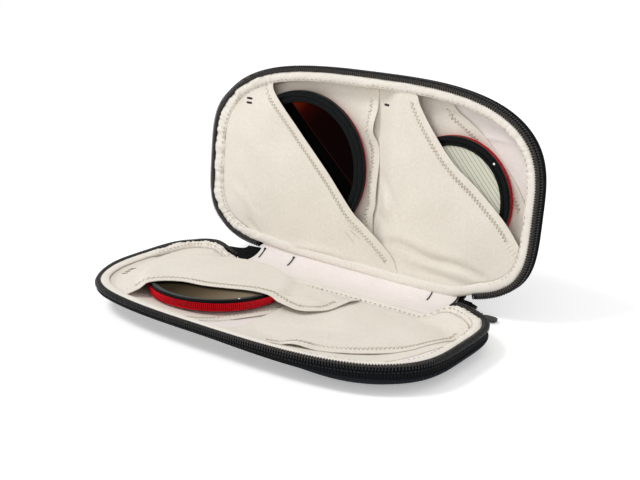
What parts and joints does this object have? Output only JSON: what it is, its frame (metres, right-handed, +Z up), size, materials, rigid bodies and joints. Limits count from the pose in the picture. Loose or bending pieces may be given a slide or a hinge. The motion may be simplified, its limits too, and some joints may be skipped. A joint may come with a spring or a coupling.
{
  "type": "filter case",
  "caption": "Zip-round filter case lying open with its lid up: two padded dishes on a folding fabric spine, slanted cloth pockets and round screw-in filters with turning front rings.",
  "frame": {"origin": "middle of the rim outline on the flat underside of the base", "axes": "+X along the spine to the right, +Y from the front of the base to the spine, +Z up"},
  "size_m": [0.2066, 0.1462, 0.1162],
  "materials": {
    "shell_fabric": "woven nylon over moulded foam, matt",
    "board": "thin foam board, hidden",
    "lining": "soft cream microfibre",
    "border": "padded cream microfibre, gathered at the corners",
    "panel": "beige microfibre with stitched edges",
    "tape": "ribbed black woven tape",
    "teeth": "black nylon coil",
    "slider": "black lacquered",
    "thread": "black bar-tack thread",
    "red_metal": "red anodised with a knurled grip",
    "black_metal": "black anodised, satin",
    "red_glass": "dark red optical glass",
    "green_glass": "pale greenish optical glass",
    "brown_glass": "brown-grey optical glass"
  },
  "bodies": {
    "base": {"base_shell": "shell_fabric", "base_board": "board", "base_lining": "lining", "base_border": "border", "base_zip_tape": "tape", "base_zip_stop": "teeth", "base_zip_teeth": "teeth", "pocket_4_front": "panel", "pocket_4_back": "panel", "pocket_3_front": "panel", "pocket_3_back": "panel"},
    "spine": {"spine_cover": "shell_fabric", "spine_pad": "board", "spine_lining": "lining", "spine_strap": "tape", "spine_tack_1": "thread", "spine_tack_2": "thread", "spine_tack_3": "thread", "spine_tack_4": "thread", "zip_web_left": "tape", "zip_web_right": "tape", "zip_slider": "slider", "zip_slider_staple": "slider"},
    "pull": {"zip_pull": "slider"},
    "lid": {"lid_shell": "shell_fabric", "lid_board": "board", "lid_lining": "lining", "lid_border": "border", "lid_zip_tape": "tape", "lid_zip_stop": "teeth", "lid_zip_teeth": "teeth", "pocket_2_front": "panel", "pocket_2_back": "panel", "pocket_1_front": "panel", "pocket_1_back": "panel"},
    "filter_1_rear": {"filter_1_rear_ring": "red_metal", "filter_1_rear_glass": "green_glass"},
    "filter_1_front": {"filter_1_front_ring": "black_metal", "filter_1_front_glass": "green_glass", "filter_1_retainer": "black_metal"},
    "filter_2_rear": {"filter_2_rear_ring": "red_metal", "filter_2_rear_glass": "red_glass"},
    "filter_2_front": {"filter_2_front_ring": "black_metal", "filter_2_front_glass": "red_glass", "filter_2_retainer": "black_metal"},
    "filter_3_rear": {"filter_3_rear_ring": "red_metal", "filter_3_rear_glass": "brown_glass"},
    "filter_3_front": {"filter_3_front_ring": "black_metal", "filter_3_front_glass": "brown_glass", "filter_3_retainer": "black_metal"}
  },
  "joints": [
    {"name": "spine_fold", "type": "hinge", "parent": "base", "child": "spine", "pos_m": [0, 0.05395, 0.0004], "axis": [1, 0, 0], "range_deg": [-5.5, 81.5]},
    {"name": "lid_fold", "type": "hinge", "parent": "spine", "child": "lid", "pos_m": [0, 0.08164, 0.00454], "axis": [1, 0, 0], "range_deg": [-80.26, 12.74]},
    {"name": "zip_pull_swing", "type": "hinge", "parent": "spine", "child": "pull", "pos_m": [0.0786, 0.06793, 0.00158], "axis": [0, 0.989, 0.1478], "range_deg": [-10, 85]},
    {"name": "filter_1_slide", "type": "slide", "parent": "lid", "child": "filter_1_rear", "axis": [0.7153, 0.0517, 0.6969], "range_m": [0, 0.009]},
    {"name": "filter_1_turn", "type": "hinge", "parent": "filter_1_rear", "child": "filter_1_front", "pos_m": [0.0538, 0.08017, 0.05634], "axis": [0, -0.9973, 0.0739], "continuous": true},
    {"name": "filter_2_slide", "type": "slide", "parent": "lid", "child": "filter_2_rear", "axis": [0.7071, 0.0523, 0.7052], "range_m": [0, 0.0055]},
    {"name": "filter_2_turn", "type": "hinge", "parent": "filter_2_rear", "child": "filter_2_front", "pos_m": [-0.0412, 0.08035, 0.05873], "axis": [0, -0.9973, 0.0739], "continuous": true},
    {"name": "filter_3_slide", "type": "slide", "parent": "base", "child": "filter_3_rear", "axis": [0.7071, -0.7068, 0.0197], "range_m": [0, 0.012]},
    {"name": "filter_3_turn", "type": "hinge", "parent": "filter_3_rear", "child": "filter_3_front", "pos_m": [-0.0408, 0.0033, 0.00598], "axis": [0, 0.0279, 0.9996], "continuous": true}
  ]
}
